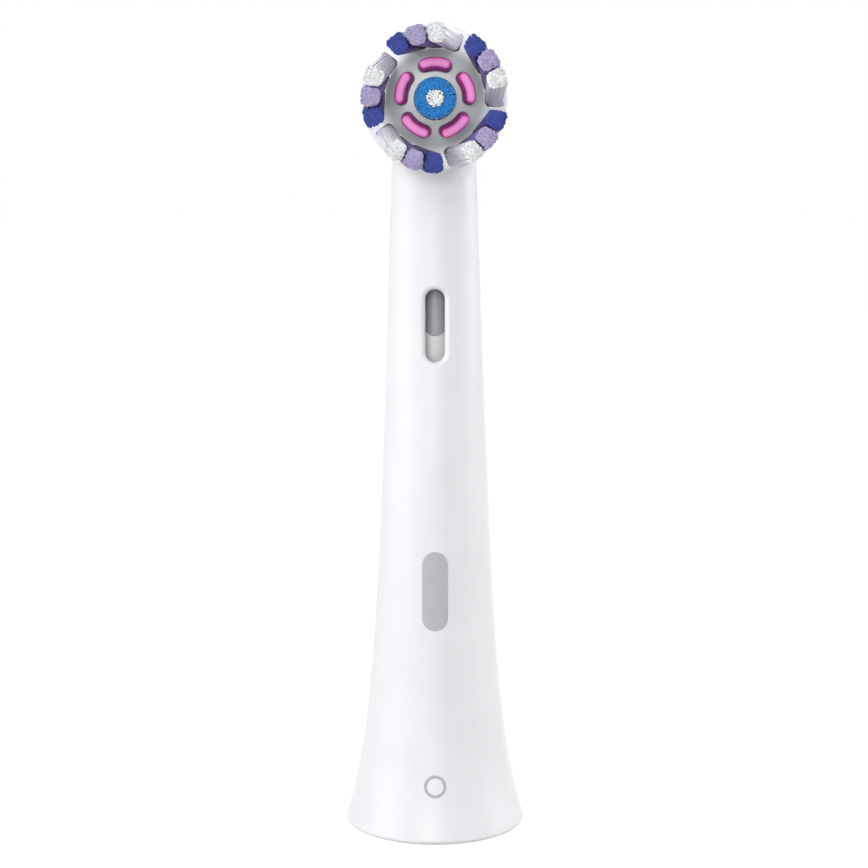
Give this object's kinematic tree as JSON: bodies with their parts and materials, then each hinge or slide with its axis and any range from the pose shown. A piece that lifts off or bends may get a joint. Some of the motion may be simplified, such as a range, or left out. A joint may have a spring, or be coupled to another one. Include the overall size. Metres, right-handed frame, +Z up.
{
  "type": "electric toothbrush head",
  "caption": "Push-on electric toothbrush head: tapered sleeve with a round swinging bristle disc, turned through a hook by a sliding coupling inside.",
  "frame": {"origin": "centre of the open foot, at the mouth of the handle socket", "axes": "+Z up along the sleeve towards the head, -Y the way the bristles face, +X to the right seen from the front"},
  "size_m": [0.0178, 0.0238, 0.0781],
  "materials": {
    "white_plastic": "satin gloss white moulding",
    "insert_plastic": "matt white moulding",
    "coupling_plastic": "matt white moulding",
    "grey_plastic": "satin grey moulding",
    "disc_plastic": "satin gloss white moulding",
    "plate_plastic": "satin grey moulding",
    "petal_rubber": "soft magenta rubber",
    "white_filament": "white nylon filaments",
    "lilac_filament": "lilac nylon filaments",
    "blue_filament": "blue nylon filaments",
    "sky_filament": "sky-blue nylon filaments",
    "steel": "bright steel wire",
    "magnet_metal": "plated magnet"
  },
  "bodies": {
    "housing": {"sleeve": "white_plastic", "base_insert": "insert_plastic", "axle_pin": "steel", "return_spring": "steel"},
    "drive": {"drive_coupling": "coupling_plastic", "coupling_magnet": "magnet_metal", "drive_rod": "grey_plastic", "crank_hook": "steel"},
    "brush": {"bristle_disc": "disc_plastic", "face_plate": "plate_plastic", "polishing_petals": "petal_rubber", "centre_tuft_ring": "sky_filament", "centre_tuft_core": "white_filament", "tuft_white_1": "white_filament", "tuft_white_2": "white_filament", "tuft_white_3": "white_filament", "tuft_white_4": "white_filament", "tuft_white_5": "white_filament", "tuft_lilac_1": "lilac_filament", "tuft_lilac_2": "lilac_filament", "tuft_lilac_3": "lilac_filament", "tuft_lilac_4": "lilac_filament", "tuft_lilac_5": "lilac_filament", "tuft_blue_1": "blue_filament", "tuft_blue_2": "blue_filament", "tuft_blue_3": "blue_filament", "tuft_blue_4": "blue_filament", "tuft_blue_5": "blue_filament"}
  },
  "joints": [
    {"name": "brush_swing", "type": "hinge", "parent": "housing", "child": "brush", "pos_m": [0, 0, 0.0713], "axis": [0, -1, 0], "range_deg": [-21, 21]},
    {"name": "drive_slide", "type": "slide", "parent": "housing", "child": "drive", "axis": [0, 0, 1], "range_m": [-0.00094, 0.00094], "stiffness_N_per_m": 60, "springref_m": 0.00014, "deforming": ["return_spring"]}
  ],
  "couplings": [
    {"joint": "brush_swing", "follows": "drive_slide", "rad_per_m": 370.37}
  ]
}
